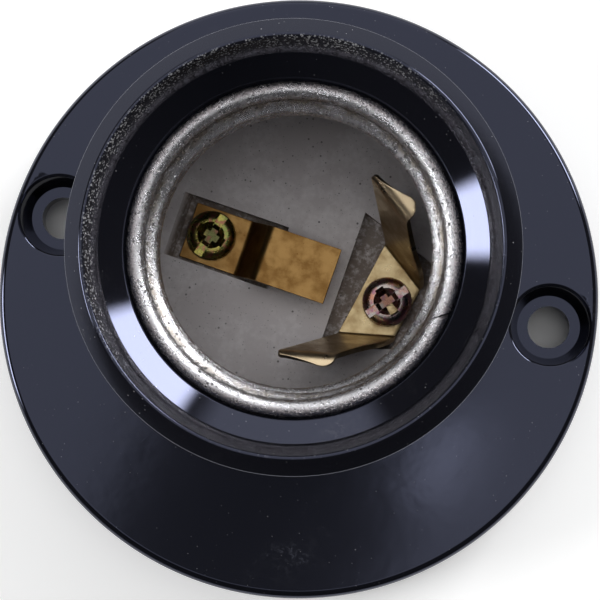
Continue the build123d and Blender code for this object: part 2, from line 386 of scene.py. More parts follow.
def phenolic(name, cover, dustyLip=False):
    look = phenolicLook
    material, tree, shader, where = startMaterial(name)
    dust = effect(tree, "dust", Vector=where, Cover=cover, Grain=look["dustGrain"])
    marks = effect(tree, "scratches", Vector=where, Stretch=(9, 0.35, 9), Turn=(0, 0, 0.6), Share=0.30)
    across = effect(tree, "scratches", Vector=where, Stretch=(0.3, 10, 5), Turn=(0, 0, 0.3), Share=0.25)
    scuffs = math2(tree, "MAXIMUM", marks["Mask"], across["Mask"])
    clouds = ramp(tree, noise(tree, where, 0.16, 3.0, 0.5), 0.40, 0.62)
    grains = math2(tree, "MULTIPLY", math2(tree, "MULTIPLY", dust["Grains"], clouds), look["grains"])
    pale = math2(tree, "ADD", math2(tree, "MULTIPLY", dust["Film"], look["film"]), grains)
    pale = math2(tree, "ADD", pale, math2(tree, "MULTIPLY", scuffs, look["scuffs"]), clamp=True)
    worn = math2(tree, "MAXIMUM", dust["Film"], scuffs)
    rough = ramp(tree, worn, 0.0, 1.0, look["gloss"], look["wornGloss"])
    if dustyLip:
        onLip, settled = lipDust(tree, where)
        pale = math2(tree, "ADD", pale, settled, clamp=True)
        rough = math2(tree, "MAXIMUM", rough, math2(tree, "MULTIPLY", onLip, look["lipGloss"]))
        bore = collarSizes["bandR"]
        inBore = ramp(tree, axisReach(tree, where), bore + 0.1, bore, 0, look["boreGloss"])
        rough = math2(tree, "MAXIMUM", rough, inBore)
    colour = blendColour(tree, pale, look["black"], look["dustColour"])
    ripple = bump(tree, noise(tree, where, 0.4, 2.0, 0.5), look["rippleMm"], look["ripple"])
    # painted reflection colour: the blue specular tint stands in for the blue room light seen in the
    # reflections
    connect(tree, shader, Base_Color=colour, Roughness=rough, Normal=ripple, IOR=look["ior"],
            Specular_Tint=look["blueLightTint"])
    return material


zincLook = {"bright": (0.74, 0.74, 0.78), "flank": (0.60, 0.55, 0.57), "tarnish": (0.36, 0.32, 0.28),
            "grimeAndShade": (0.045, 0.04, 0.04), "gloss": 0.15, "dull": 0.34, "reliefMm": 0.05,
            "valleyR": (12.65, 13.25), "valleyZ": (47.4, 46.6), "flankR": (13.95, 14.5),
            "seatShadeR": (15.3, 15.42), "ragged": 0.55}


def zincSheet():
    look = zincLook
    material, tree, shader, where = startMaterial("zincSheet")
    reach = axisReach(tree, where)
    mottle = noise(tree, where, 0.9, 5.0, 0.7)
    blotches = ramp(tree, mottle, 0.3, 0.6)
    valley = math2(tree, "MULTIPLY", ramp(tree, reach, *look["valleyR"]),
                   ramp(tree, heightOf(tree, where), *look["valleyZ"]))
    tarnish = math2(tree, "MULTIPLY", math2(tree, "ADD", valley, 0.2), blotches, clamp=True)
    outer = ramp(tree, reach, *look["flankR"])
    flank = math2(tree, "MULTIPLY", outer, ramp(tree, mottle, 0.25, 0.6))
    pits = effect(tree, "specks", Vector=where, Per_mm=2.4, Size=0.42, Share=0.34)["Mask"]
    finePits = effect(tree, "specks", Vector=where, Per_mm=5.5, Size=0.45, Share=0.4)["Mask"]
    worn = ramp(tree, noise(tree, where, 1.6, 3.0, 0.6), 0.42, 0.62)
    crumbs = math2(tree, "MULTIPLY", ramp(tree, noise(tree, where, 4.5, 3.0, 0.7), 0.50, 0.66), outer)
    dark = math2(tree, "ADD", pits, math2(tree, "MULTIPLY", finePits, 0.7), clamp=True)
    dark = math2(tree, "MULTIPLY", dark, ramp(tree, worn, 0.0, 1.0, 0.35, 1.0))
    dark = math2(tree, "MAXIMUM", dark, math2(tree, "MULTIPLY", crumbs, 0.5))
    # painted shade in the gap between the rim and its seat, with a ragged edge
    frayed = math2(tree, "MULTIPLY", noise(tree, where, 1.8, 3.0, 0.7), look["ragged"])
    dark = math2(tree, "MAXIMUM", dark, ramp(tree, math2(tree, "ADD", reach, frayed), *look["seatShadeR"]))
    colour = blendColour(tree, tarnish, look["bright"], look["tarnish"])
    colour = blendColour(tree, flank, colour, look["flank"])
    # the pits and crumbs are grime; the dark band at the seat is painted shade
    colour = blendColour(tree, math2(tree, "MULTIPLY", dark, 0.9), colour, look["grimeAndShade"])
    relief = math2(tree, "SUBTRACT", noise(tree, where, 6.5, 4.0, 0.8), math2(tree, "MULTIPLY", dark, 1.2))
    bare = math2(tree, "SUBTRACT", 1.0, math2(tree, "MULTIPLY", dark, 0.7))
    connect(tree, shader, Base_Color=colour, Metallic=bare, Normal=bump(tree, relief, look["reliefMm"]),
            Roughness=ramp(tree, mottle, 0.3, 0.7, look["gloss"], look["dull"]))
    return material


ceramicLook = {"body": (0.86, 0.815, 0.825), "cloud": (0.72, 0.67, 0.675), "speck": (0.07, 0.06, 0.06),
               "sunkShade": (0.25, 0.20, 0.17), "gloss": 0.45, "dull": 0.62, "reliefMm": 0.03,
               "sunkBy": (0.2, 1.2)}


def ceramic():
    look = ceramicLook
    material, tree, shader, where = startMaterial("steatite")
    cloud = noise(tree, where, 0.22, 4.0, 0.6)
    mottle = math2(tree, "MULTIPLY", ramp(tree, noise(tree, where, 1.7, 3.0, 0.7), 0.35, 0.65), 0.5)
    patchy = math2(tree, "ADD", ramp(tree, cloud, 0.35, 0.65), mottle, clamp=True)
    colour = blendColour(tree, patchy, look["body"], look["cloud"])
    # painted shade: surfaces more than a millimetre below the insert's top, such as the groove and pocket,
    # are darkened brown in patches
    sunk = ramp(tree, heightOf(tree, where), *(insertTop - depth for depth in look["sunkBy"]))
    sunkShade = math2(tree, "MULTIPLY", sunk, ramp(tree, noise(tree, where, 1.6, 4.0, 0.7), 0.25, 0.55))
    colour = blendColour(tree, sunkShade, colour, look["sunkShade"])
    specks = effect(tree, "specks", Vector=where, Per_mm=1.6, Size=0.17, Share=0.6)["Mask"]
    fine = effect(tree, "specks", Vector=where, Per_mm=4.5, Size=0.24, Share=0.45)["Mask"]
    dark = math2(tree, "ADD", specks, math2(tree, "MULTIPLY", fine, 0.55), clamp=True)
    colour = blendColour(tree, math2(tree, "MULTIPLY", dark, 0.85), colour, look["speck"])
    connect(tree, shader, Base_Color=colour,
            Roughness=ramp(tree, cloud, 0.3, 0.7, look["gloss"], look["dull"]),
            Normal=bump(tree, noise(tree, where, 5.0, 5.0, 0.75), look["reliefMm"], 0.5))
    return material


leafLook = {"bright": (0.38, 0.23, 0.085), "brown": (0.21, 0.10, 0.025), "gloss": 0.30, "dull": 0.46,
            "age": 0.2}
wingLook = {"bright": (0.56, 0.44, 0.25), "brown": (0.34, 0.21, 0.085), "gloss": 0.26, "dull": 0.44,
            "age": 0.0}
litLipBrass = {"colour": (0.80, 0.64, 0.42), "height": (34.4, 35.4)}


def brass(name, look):
    material, tree, shader, where = startMaterial(name)
    patches = noise(tree, where, 0.45, 5.0, 0.65)
    marks = effect(tree, "scratches", Vector=where, Stretch=(7, 0.5, 7), Turn=(0, 0, 1.2), Share=0.5)["Mask"]
    spots = effect(tree, "specks", Vector=where, Per_mm=2.4, Size=0.22, Share=0.3)["Mask"]
    stains = math2(tree, "MULTIPLY", ramp(tree, patches, 0.38, 0.66), 0.6)
    aged = math2(tree, "ADD", stains, look["age"], clamp=True)
    aged = math2(tree, "ADD", aged, math2(tree, "MULTIPLY", spots, 0.35), clamp=True)
    colour = blendColour(tree, aged, look["bright"], look["brown"])
    # painted highlight: the wings' lips turn paler with height, where they catch the light from the socket's
    # mouth
    litLips = ramp(tree, heightOf(tree, where), *litLipBrass["height"])
    colour = blendColour(tree, litLips, colour, litLipBrass["colour"])
    fine = math2(tree, "MULTIPLY", noise(tree, where, 9.0, 3.0, 0.6), 0.5)
    relief = math2(tree, "SUBTRACT", fine, math2(tree, "MULTIPLY", marks, 0.6))
    connect(tree, shader, Base_Color=colour, Metallic=1.0, Normal=bump(tree, relief, 0.03, 0.45),
            Roughness=ramp(tree, patches, 0.3, 0.7, look["gloss"], look["dull"]))
    return material


filmLook = {"grimeAndShade": (0.06, 0.045, 0.035), "recessZ": (25.60, 25.35), "headZ": (24.50, 24.60), "gloss": 0.2,
            "dull": 0.38, "reliefMm": 0.03}


def chromate(name, tints):
    # a passivated film whose colour drifts with its thickness, with grime specks and painted shade low in the
    # screw heads
    look = filmLook
    material, tree, shader, where = startMaterial(name)
    drift = noise(tree, where, 0.75, 3.0, 0.55)
    second = noise(tree, where, 1.6, 3.0, 0.55)
    colour = blendColour(tree, ramp(tree, drift, 0.38, 0.56), tints[0], tints[1])
    colour = blendColour(tree, ramp(tree, second, 0.50, 0.62), colour, tints[2])
    grimeAndShade = effect(tree, "specks", Vector=where, Per_mm=3.0, Size=0.35, Share=0.25)["Mask"]
    height = heightOf(tree, where)
    # painted shade: the head darkens between these heights, low in its recess and round its lower rim
    recessShade = math2(tree, "MULTIPLY", ramp(tree, height, *look["recessZ"]), ramp(tree, height, *look["headZ"]))
    dark = math2(tree, "MULTIPLY", math2(tree, "MAXIMUM", grimeAndShade, recessShade), 0.6)
    colour = blendColour(tree, dark, colour, look["grimeAndShade"])
    connect(tree, shader, Base_Color=colour, Metallic=1.0,
            Roughness=ramp(tree, second, 0.3, 0.7, look["gloss"], look["dull"]),
            Normal=bump(tree, noise(tree, where, 4.0, 3.0, 0.6), look["reliefMm"], 0.4))
    return material


flangeMaterial = phenolic("blackPhenolicBase", 0.34)
zincMaterial = zincSheet()
ceramicMaterial = ceramic()
leafMaterial = brass("leafBrass", leafLook)
wingMaterial = brass("wingBrass", wingLook)
yellowFilm = chromate("yellowFilm", [(0.42, 0.37, 0.10), (0.20, 0.23, 0.07), (0.46, 0.21, 0.13)])
copperFilm = chromate("copperFilm", [(0.50, 0.24, 0.17), (0.42, 0.38, 0.36), (0.42, 0.20, 0.26)])
print("materials built")


# Base: flange, hollow back, bosses and threaded neck in one moulding
baseSizes = {"edgeRound": 0.8, "backRound": 0.3, "flangeTop": 8.0, "webBottom": 4.6, "rimInner": 27.0,
             "wallR": 15.6, "cavityR": 13.2, "neckR": 17.3, "boreR": 15.55, "ledgeZ": 16.0, "bossR": 5.3,
             "holeX": 25.0, "holeR": 2.1, "floorR": 3.15, "sinkR": 3.9, "floorZ": 3.5, "lipFlare": 0.35,
             "chamfer": 0.4, "core": 5.0, "boreOver": 0.8, "keyHalf": 1.5, "keySink": 0.8,
             "threadFrom": 10.5, "threadPitch": 3.0, "ridge": 0.5}


def threadRidge(turn, height, start, end, sizes, sign):
    fade = smooth((height - start) / 1.5) * smooth((end - height) / 1.5)
    wave = 0.5 + 0.5 * math.cos(2 * math.pi * height / sizes["threadPitch"] - turn)
    return sign * sizes["ridge"] * fade * wave ** 1.5


def heights(start, end, step):
    count = max(int(abs(end - start) / step), 1)
    return [start + (end - start) * k / count for k in range(count + 1)]


def buildBase():
    s = baseSizes
    top, edge, back, core = s["flangeTop"], s["edgeRound"], s["backRound"], s["core"]
    outline = [(core, 0)] + arc(flangeR - back, back, back, back, -90, 0, 4)
    outline += arc(flangeR - edge, top - edge, edge, edge, 0, 90, 8) + [(core, top)]
    base = thing(lathe("baseBody", outline, segments=288))
    holePlaces = [Matrix.Translation((side * s["holeX"], socketY, 0)) for side in (-1, 1)]
    hollow = [(core, -1), (s["rimInner"], -1), (s["rimInner"], s["webBottom"]), (core, s["webBottom"])]
    hollow = thing(lathe("hollow", hollow, segments=192))
    for place in holePlaces:
        carve(hollow, solidPost("boss", s["bossR"], -2, s["webBottom"] + 1, place, 64), "DIFFERENCE")
    carve(base, hollow.data, "DIFFERENCE")
    bpy.data.objects.remove(hollow)
    carve(base, solidPost("bore", s["cavityR"] + s["boreOver"], -2, top + 2, socketPlace, 128), "DIFFERENCE")
    chamfer = s["chamfer"]
    web = s["webBottom"] + 1
    neck = [(s["cavityR"], 0), (s["wallR"], 0), (s["wallR"], web), (s["neckR"], web)]
    neck += [(s["neckR"], z) for z in heights(s["threadFrom"] - 1.5, neckTopZ - chamfer, 0.3)]
    neck += [(s["neckR"] - chamfer, neckTopZ), (s["boreR"] + chamfer, neckTopZ)]
    neck += [(s["boreR"], neckTopZ - chamfer), (s["boreR"], s["ledgeZ"]), (s["cavityR"], s["ledgeZ"])]

    def outside(turn, z, row):
        onThread = 4 <= row < len(neck) - 5
        return threadRidge(turn, z, s["threadFrom"], neckTopZ - chamfer, s, 1) if onThread else 0

    carve(base, lathe("neck", neck, socketPlace, 192, ridge=outside), "UNION")
    key = box("key", -s["keyHalf"], s["keyHalf"], s["boreR"] - 1, s["boreR"] + s["keySink"],
              s["ledgeZ"] - 0.5, insertTop, insertPlace)
    carve(base, key, "UNION")
    flare = s["lipFlare"]
    sink = [(0, -1), (s["holeR"], -1), (s["holeR"], s["floorZ"]), (s["floorR"], s["floorZ"])]
    sink += arc(s["sinkR"] + flare, top - flare, flare, flare, 180, 90, 5)
    sink += [(s["sinkR"] + flare, top + 1), (0, top + 1)]
    for place in holePlaces:
        carve(base, lathe("sink", sink, place, 96, closed=False), "DIFFERENCE")
    return evenShade(base, 32)


handOver(buildBase(), "base", flangeMaterial, "phenolic", "base_body")
print("base built")


# Collar: rounded lip, sloping band, seat for the shell, sleeve and threaded skirt
collarSizes = {"crestR": 18.5, "crestRound": 0.3, "innerR": 17.3, "lipSlope": 1.5, "shoulderRound": 0.15,
               "lipDrop": 3.0, "bandR": 15.2, "bandDrop": 1.5, "bandRound": 0.08, "seatDrop": 1.7,
               "throatR": 13.95, "sleeveWall": 0.7, "sleeveGap": 0.3, "roof": 2.0, "skirtR": 18.2,
               "footZ": 8.3, "footChamfer": 0.5, "skirtChamfer": 0.4, "threadPitch": 3.0, "ridge": 0.5}


def buildCollar():
    s = collarSizes
    bandOuterZ = lipZ - s["lipDrop"]
    bandInnerZ = bandOuterZ - s["bandDrop"]
    seatZ = bandInnerZ - s["seatDrop"]
    roofZ, sleeveFoot = neckTopZ + s["roof"], insertTop + s["sleeveGap"]
    shoulderZ = lipZ - s["lipSlope"]
    top = (s["crestR"], lipZ)
    shoulder = rounded([(collarR, shoulderZ - 1), (collarR, shoulderZ), top], s["shoulderRound"], 5)
    crest = rounded([(collarR, shoulderZ), top, (s["innerR"], bandOuterZ)], s["crestRound"], 6)
    lip = [tuple(p) for p in shoulder[:-1] + crest[1:-1]]
    band = [top, (s["innerR"], bandOuterZ), (s["bandR"], bandInnerZ), (s["bandR"], seatZ)]
    band = rounded(band, s["bandRound"], 3)
    foot, chamfer = s["footZ"], s["footChamfer"]
    skirtRows = heights(roofZ, foot + chamfer, 0.3)
    lower = [(s["throatR"], seatZ), (s["throatR"], sleeveFoot), (s["throatR"] + s["sleeveWall"], sleeveFoot),
             (s["throatR"] + s["sleeveWall"], roofZ)] + [(s["skirtR"], z) for z in skirtRows]
    edge = [(s["skirtR"] + s["skirtChamfer"], foot), (collarR - chamfer, foot), (collarR, foot + chamfer)]
    wall = [(collarR, z) for z in heights(foot + 2, shoulderZ - 1, 4)]
    profile = lip + [tuple(p) for p in band[1:]] + lower + edge + wall
    firstSkirt = len(lip) + len(band) - 1 + 4
    skirt = range(firstSkirt, firstSkirt + len(skirtRows))

    def inside(turn, z, row):
        return threadRidge(turn + math.pi, z, foot + 1.5, roofZ - 1, s, -1) if row in skirt else 0

    return evenShade(thing(lathe("collarRing", profile, socketPlace, 256, ridge=inside)), 50)


collarMaterial = phenolic("blackPhenolicCollar", 0.4, dustyLip=True)
handOver(buildCollar(), "collar", collarMaterial, "phenolic", "collar")
print("collar built")


# Screw shell: one strip of sheet with a rolled rim, a round thread rolled as a true helix, and an open seam
shellSizes = {"rootR": 13.4, "crestR": 12.25, "rimR": 15.05, "sheet": 0.4, "pitch": 3.629, "foot": 40.2,
              "rimShare": 0.34, "archHeight": 0.85, "startDeg": -127.5, "seamDeg": -19.5,
              "seamSlantDeg": 10.0, "seamGapDeg": 1.1, "turns": 288, "rows": 84}


def shellLine(turnDeg, travel):
    # middle of the sheet, as radius and height, at an angle and a share of the way down
    s = shellSizes
    half = s["sheet"] / 2
    rootR, archR = s["rootR"] + half, (s["rimR"] - s["rootR"] - s["sheet"]) / 2
    archZ = rimTopZ - half - s["archHeight"]
    if travel < s["rimShare"]:
        swing = math.pi * travel / s["rimShare"]
        lift = math.sin(swing) * s["archHeight"]
        return rootR + archR * (1 + math.cos(swing)), archZ + lift - 0.6 * (1 - smooth(travel / 0.08))
    below = (travel - s["rimShare"]) / (1 - s["rimShare"])
    height = archZ - below * (archZ - s["foot"] - half)
    crest = (archZ - 0.9 - height) / s["pitch"] + (turnDeg - s["startDeg"]) / 360
    reach = smooth((archZ - height) / 1.5) * smooth((1 - below) / 0.22)
    return rootR - (s["rootR"] - s["crestR"]) * reach * (0.5 + 0.5 * math.cos(2 * math.pi * crest)), height


def shellPoint(turnDeg, travel, side):
    s = shellSizes
    step = 0.004
    r0, z0 = shellLine(turnDeg, max(travel - step, 0))
    r1, z1 = shellLine(turnDeg, min(travel + step, 1))
    r, z = shellLine(turnDeg, travel)
    run = math.hypot(r1 - r0, z1 - z0)
    r += side * (z0 - z1) / run * s["sheet"] / 2
    z += side * (r1 - r0) / run * s["sheet"] / 2
    slant = s["seamSlantDeg"] * (1 - smooth(travel / 0.5))
    angle = math.radians(turnDeg + slant)
    return r * math.cos(angle), r * math.sin(angle), z


def buildShell():
    s = shellSizes
    points, faces = [], []
    rows, turns = s["rows"], s["turns"]
    ring = 2 * (rows + 1)
    for step in range(turns + 1):
        for side in (-1, 1):
            for row in range(rows + 1):
                travel = row / rows if side < 0 else 1 - row / rows
                gap = s["seamGapDeg"] * (1 - smooth(travel / 0.5)) + 0.02
                turnDeg = s["seamDeg"] + gap / 2 + (360 - gap) * step / turns
                points.append(shellPoint(turnDeg, travel, side))
    for step in range(turns):
        here, there = step * ring, (step + 1) * ring
        for row in range(ring):
            after = (row + 1) % ring
            faces.append((here + row, there + row, there + after, here + after))
    for end in (0, turns * ring):
        for row in range(rows):
            faces.append((end + row, end + row + 1, end + ring - 2 - row, end + ring - 1 - row))
    return thing(meshFrom("screwShell", points, faces, socketPlace, 40))


handOver(buildShell(), "shell_carrier", zincMaterial, "zinc_sheet", "screw_shell")
print("shell built")


# Ceramic insert: groove and pocket with soft edges
insertSizes = {"bottom": 16.0, "floor": 24.0, "row": -0.4, "groove": (-12.45, -2.05), "grooveW": 6.2,
               "grooveSlope": 0.75, "pocket": (4.34, 13.0), "pocketW": 13.6, "pocketTaperDeg": 18.5,
               "barrierH": 4.0, "barrierW": 1.6, "barrierReach": 11.0, "notchHalf": 1.8, "notchDepth": 1.15,
               "chamfer": 0.4, "centreScrew": (-8.8, -0.4), "sideScrew": (9.0, -0.9), "soft": 0.16}


def buildInsert():
    s = insertSizes
    radius = (insertHigh.x - insertLow.x) / 2
    disc = [(0, s["bottom"]), (radius, s["bottom"]), (radius, insertTop - s["chamfer"]),
            (radius - s["chamfer"], insertTop), (0, insertTop)]
    insert = thing(lathe("contactInsert", disc, insertPlace, 160, closed=False))
    over, half = 1.0, s["grooveW"] / 2
    lean = s["grooveSlope"] * over / (insertTop - s["floor"])
    u0, u1 = s["groove"]
    v0, v1 = s["row"] - half, s["row"] + half
    lower = [(u0 + s["grooveSlope"], v0), (u1, v0), (u1, v1), (u0 + s["grooveSlope"], v1)]
    upper = [(u0 - lean, v0), (u1, v0), (u1, v1), (u0 - lean, v1)]
    carve(insert, frustum("groove", lower, upper, s["floor"], insertTop + over, insertPlace), "DIFFERENCE")
    p0, p1 = s["pocket"]
    wide = s["pocketW"] / 2
    narrow = wide - (p1 - p0) * math.tan(math.radians(s["pocketTaperDeg"]))
    corners = [(p0, s["row"] - wide), (p1, s["row"] - narrow), (p1, s["row"] + narrow), (p0, s["row"] + wide)]
    pocket = frustum("pocket", corners, corners, s["floor"], insertTop + over, insertPlace)
    carve(insert, pocket, "DIFFERENCE")
    barrier = box("barrier", -s["barrierW"] / 2, s["barrierW"] / 2, -s["barrierReach"], s["barrierReach"],
                  s["bottom"] - s["barrierH"], s["bottom"] + 1, insertPlace)
    carve(insert, barrier, "UNION")
    notch = box("notch", -s["notchHalf"], s["notchHalf"], radius - s["notchDepth"], radius + 1,
                s["bottom"] - 1, insertTop + 1, insertPlace)
    carve(insert, notch, "DIFFERENCE")
    softenEdges(insert, s["soft"], 2)
    return insert


handOver(buildInsert(), "base", ceramicMaterial, "ceramic", "contact_insert")
print("insert built")


# Centre contact: a leaf bent up over the axis
leafSizes = {"sheet": 0.5, "width": 5.4, "row": -0.5, "bend": 0.75, "burr": 0.07,
             "corners": [(-11.1, 0), (-5.2, 0), (-3.5, 4.2), (3.45, 4.5)]}


def buildLeaf():
    s = leafSizes
    floor = insertSizes["floor"] + s["sheet"] / 2
    path = rounded([(u, floor + rise) for u, rise in s["corners"]], s["bend"], 8)
    above, below = [], []
    for k, here in enumerate(path):
        along = path[min(k + 1, len(path) - 1)] - path[max(k - 1, 0)]
        across = Vector((-along.y, along.x)).normalized() * s["sheet"] / 2
        above.append(here + across)
        below.append(here - across)
    loop = above + below[::-1]
    half, count = s["width"] / 2, len(loop)
    points = [(p.x, s["row"] + side * half, p.y) for side in (-1, 1) for p in loop]
    faces = [(k, (k + 1) % count, count + (k + 1) % count, count + k) for k in range(count)]
    last = len(above) - 1
    for side in (0, count):
        faces += [(side + k, side + k + 1, side + count - 2 - k, side + count - 1 - k) for k in range(last)]
    leaf = thing(meshFrom("centreContact", points, faces, insertPlace))
    return softenEdges(leaf, s["burr"], 2, 50)


handOver(buildLeaf(), "base", leafMaterial, "brass", "centre_contact")


# Side contact: a plate with two tall wings that lean outward and end in flared lips
wingSizes = {"sheet": 0.5, "plateInner": -2.65, "plateW": 9.4, "taperDeg": 24.0, "turnDeg": -9.0,
             "bend": 0.45, "leanDeg": (12.6, 12.0), "height": 11.8, "flareDeg": 76.0, "flareRun": 1.4,
             "lipStart": 0.45, "lipReach": (1.6, 1.0), "lipCorner": 0.9, "lipTip": 0.2, "burr": 0.08,
             "near": [(0, 0), (-0.5, 1.5), (-1.6, 3.8), (-2.75, 6.2), (-3.95, 8.7), (-5.3, 11.4)],
             "far": [(5.42, 0), (4.85, 1.9), (4.0, 4.0), (2.65, 6.1), (1.3, 8.6), (-0.05, 11.6)]}


def curveThrough(points, share):
    # a smooth curve through a few points
    spot = share * (len(points) - 1)
    k = min(int(spot), len(points) - 2)
    t = spot - k
    p0, p1, p2, p3 = (Vector(points[min(max(k + d, 0), len(points) - 1)]) for d in (-1, 0, 1, 2))
    bow = (2 * p0 - 5 * p1 + 4 * p2 - p3) * t * t + (3 * p1 - p0 - 3 * p2 + p3) * t ** 3
    return 0.5 * (2 * p1 + (p2 - p0) * t + bow)


def followBends(travel, bends):
    # reach outward and upward after a distance along sheet that bends in stages of (length, turn)
    out = up = heading = 0.0
    for length, turn in bends:
        part = min(travel, length)
        travel -= part
        if turn:
            swept = turn * part / length
            out += length / turn * (math.sin(heading + swept) - math.sin(heading))
            up += length / turn * (math.cos(heading) - math.cos(heading + swept))
            heading += swept
        else:
            out += part * math.cos(heading)
            up += part * math.sin(heading)
    return out, up


def wingPoint(share, rise, lean, reach, side):
    # share runs from the near edge to the far edge; rise runs to 1 up the blade and to 2 over the flared lip
    s = wingSizes
    blade, beyond = min(rise, 1.0), max(rise - 1, 0.0)
    flat = curveThrough(s["near"], blade).lerp(curveThrough(s["far"], blade), share)
    x = flat.x - s["lipCorner"] * beyond ** 3 * smooth((share - 0.55) / 0.45)
    x += s["lipTip"] * beyond ** 2 * (1 - share) ** 4
    travel = flat.y + beyond * (s["lipStart"] + (reach - s["lipStart"]) * smooth(share * 1.1))
    stand, flare = math.radians(90 - lean), math.radians(s["flareDeg"])
    fold = s["bend"] * stand
    bends = [(fold, stand), (s["height"] - fold - s["flareRun"] / 2, 0), (s["flareRun"], -flare), (9, 0)]
    out, up = followBends(travel, bends)
    out += s["sheet"] / 2 * math.tan(stand / 2) - s["bend"] * math.tan(stand / 2)
    taper = math.radians(s["taperDeg"])
    px = s["plateInner"] + x * math.cos(taper) + out * math.sin(taper)
    py = s["plateW"] / 2 - x * math.sin(taper) + out * math.cos(taper)
    return px, side * py, up


def buildSideContact():
    s = wingSizes
    columns, bladeRows, lipRows, plateRows = 14, 30, 8, 8
    rises = [k / bladeRows for k in range(bladeRows + 1)] + [1 + k / lipRows for k in range(1, lipRows + 1)]
    shares = [c / columns for c in range(columns + 1)]

    def wingRow(rise, wing, side):
        return [wingPoint(share, rise, s["leanDeg"][wing], s["lipReach"][wing], side) for share in shares]

    grid = [wingRow(rise, 1, -1) for rise in reversed(rises)]
    foot = wingRow(0, 0, 1)
    for k in range(1, plateRows):
        grid.append([(x, y * (2 * k / plateRows - 1), 0) for x, y, z in foot])
    grid += [wingRow(rise, 0, 1) for rise in rises]
    wide = columns + 1
    faces = [(r * wide + c, r * wide + c + 1, (r + 1) * wide + c + 1, (r + 1) * wide + c)
             for r in range(len(grid) - 1) for c in range(columns)]
    u, v = insertSizes["sideScrew"]
    place = insertPlace @ Matrix.Translation((u, v, insertSizes["floor"] + s["sheet"] / 2))
    place = place @ Matrix.Rotation(math.radians(s["turnDeg"]), 4, "Z")
    contact = thing(meshFrom("sideContact", [p for line in grid for p in line], faces, place))
    thick = contact.modifiers.new("sheet", "SOLIDIFY")
    thick.thickness = s["sheet"] * mm
    thick.offset = 0
    settle(contact)
    return softenEdges(contact, s["burr"], 2, 60)


handOver(buildSideContact(), "base", wingMaterial, "brass", "side_contact")
print("contacts built")


# Contact screws: pan heads with a slot right across and a wide cross recess in the middle
screwSizes = {"headR": 2.35, "headH": 1.9, "rimH": 0.6, "roundR": 0.95, "domeDrop": 0.12, "shankR": 1.25,
              "shankL": 10.5, "tip": 0.4, "slotW": 0.82, "slotDepth": 0.75, "wellR": 1.35, "wellMidR": 0.95,
              "wellFootR": 0.5, "wellDepth": 1.3, "crossW": 0.9, "crossReach": 1.6, "crossTaper": (0.45, 0.7),
              "soft": 0.06, "baseZ": 24.5, "centreTurnDeg": 74, "sideTurnDeg": 52}


def buildScrew(name, place, turnDeg):
    s = screwSizes
    place = insertPlace @ Matrix.Translation((*place, s["baseZ"]))
    place = place @ Matrix.Rotation(math.radians(turnDeg), 4, "Z")
    domeH = s["headH"] - s["rimH"] - s["domeDrop"]
    dome = arc(s["headR"] - s["roundR"], s["rimH"], s["roundR"], domeH, 0, 82, 12)
    shank = [(0, -s["shankL"]), (s["shankR"] - 0.3, -s["shankL"]), (s["shankR"], -s["shankL"] + s["tip"])]
    head = [(s["shankR"], 0), (s["headR"] - 0.1, 0), (s["headR"], 0.1)] + dome + [(0, s["headH"])]
    screw = thing(lathe(name, shank + head, place, 72, closed=False))
    top, slotFloor, wellFloor = s["headH"] + 0.5, s["headH"] - s["slotDepth"], s["headH"] - s["wellDepth"]
    carve(screw, box("slot", -3, 3, -s["slotW"] / 2, s["slotW"] / 2, slotFloor, top, place), "DIFFERENCE")
    well = [(0, wellFloor), (s["wellFootR"], wellFloor), (s["wellMidR"], slotFloor)]
    well += [(s["wellR"], s["headH"] + 0.02), (s["wellR"], top), (0, top)]
    carve(screw, lathe("well", well, place, 48, closed=False), "DIFFERENCE")
    shorter, narrower = s["crossTaper"]
    w, reach = s["crossW"] / 2, s["crossReach"]
    lowW, lowReach = w * narrower, reach * shorter
    lower = [(-lowReach, -lowW), (lowReach, -lowW), (lowReach, lowW), (-lowReach, lowW)]
    upper = [(-reach, -w), (reach, -w), (reach, w), (-reach, w)]
    for quarter in (0, 90):
        turned = place @ Matrix.Rotation(math.radians(quarter), 4, "Z")
        carve(screw, frustum("cross", lower, upper, wellFloor - 0.2, top - 0.35, turned), "DIFFERENCE")
    return softenEdges(screw, s["soft"], 2, 35)


centreScrew = buildScrew("centreContactScrew", insertSizes["centreScrew"], screwSizes["centreTurnDeg"])
handOver(centreScrew, "base", yellowFilm, "yellow_zinc", "centre_contact_screw")
sideScrew = buildScrew("sideContactScrew", insertSizes["sideScrew"], screwSizes["sideTurnDeg"])
handOver(sideScrew, "base", copperFilm, "yellow_zinc", "side_contact_screw")
print("screws built")


# Hidden solids keep their shape and get a finish
for nodeName, finish in {"centre_terminal_plate": wingMaterial, "side_terminal_plate": wingMaterial,
                         "centre_terminal_screw": yellowFilm, "side_terminal_screw": yellowFilm,
                         "centre_clamp_washer": yellowFilm, "side_clamp_washer": yellowFilm}.items():
    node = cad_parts[nodeName]
    node.data.materials.clear()
    node.data.materials.append(finish)


# Floor, light and camera
studio = {"floorColour": (0.86, 0.86, 0.86), "floorCloud": (0.9, 0.9, 0.9), "floorRough": 0.8,
          "floorSize": 2.0, "floorThick": 1.0, "floorZ": -0.02, "floorGlow": 0.36, "lowSky": 0.05,
          "leastSky": 0.01, "backdrop": 0.86, "horizon": 0.03}


def buildFloor():
    half = studio["floorSize"] / 2 / mm
    floor = thing(box("floor", -half, half, -half, half, -studio["floorThick"], studio["floorZ"]))
    material, tree, shader, where = startMaterial("paleFloor")
    cloud = noise(tree, where, 0.01, 3.0, 0.5)
    straight, mirrored = raysTo(tree)
    looked = math2(tree, "MAXIMUM", straight, mirrored)
    # the pale ground outside the flange's footprint; the floor keeps its shadow
    outside = ramp(tree, vector2(tree, "LENGTH", where, result="Value"), flangeR - 1.0, flangeR + 0.5)
    glow = math2(tree, "MULTIPLY", math2(tree, "MULTIPLY", looked, outside), studio["floorGlow"])
    colour = blendColour(tree, cloud, studio["floorColour"], studio["floorCloud"])
    connect(tree, shader, Base_Color=colour, Roughness=studio["floorRough"], Emission_Color=(1.0, 1.0, 1.0),
            Emission_Strength=glow)
    floor.data.materials.append(material)


